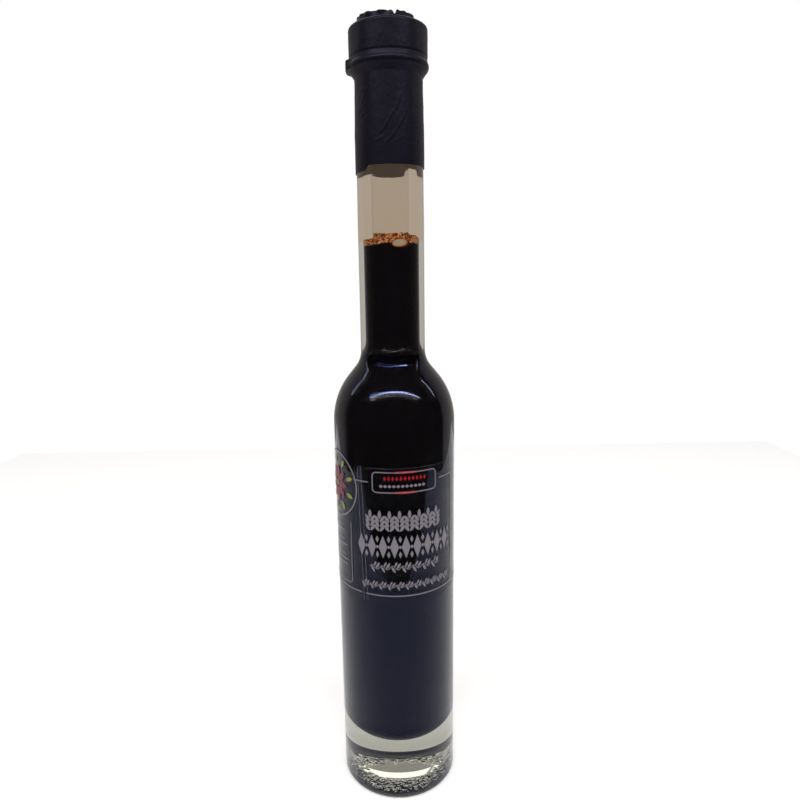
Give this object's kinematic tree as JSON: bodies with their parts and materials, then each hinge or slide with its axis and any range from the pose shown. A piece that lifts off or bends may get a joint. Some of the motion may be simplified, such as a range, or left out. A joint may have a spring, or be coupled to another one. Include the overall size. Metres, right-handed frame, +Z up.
{
  "type": "vinegar bottle",
  "caption": "Slim round glass bottle of dark vinegar with a thick base, long neck, shrunk black film capsule and a clear printed label.",
  "frame": {"origin": "centre of the base, on the surface that the bottle stands on", "axes": "+Z up along the bottle's axis; the front of the label faces -Y"},
  "size_m": [0.0474, 0.0474, 0.2947],
  "materials": {
    "glass": "clear flint glass, moulded, glossy",
    "vinegar": "near-black liquid",
    "froth": "orange-brown bubbles",
    "stopper": "moulded black plastic",
    "capsule": "black shrink film, satin, slightly wrinkled",
    "label": "clear film with silver-grey print"
  },
  "bodies": {
    "root": {"glass_bottle": "glass", "vinegar": "vinegar", "froth": "froth", "stopper": "stopper", "capsule": "capsule", "label": "label"}
  },
  "joints": []
}
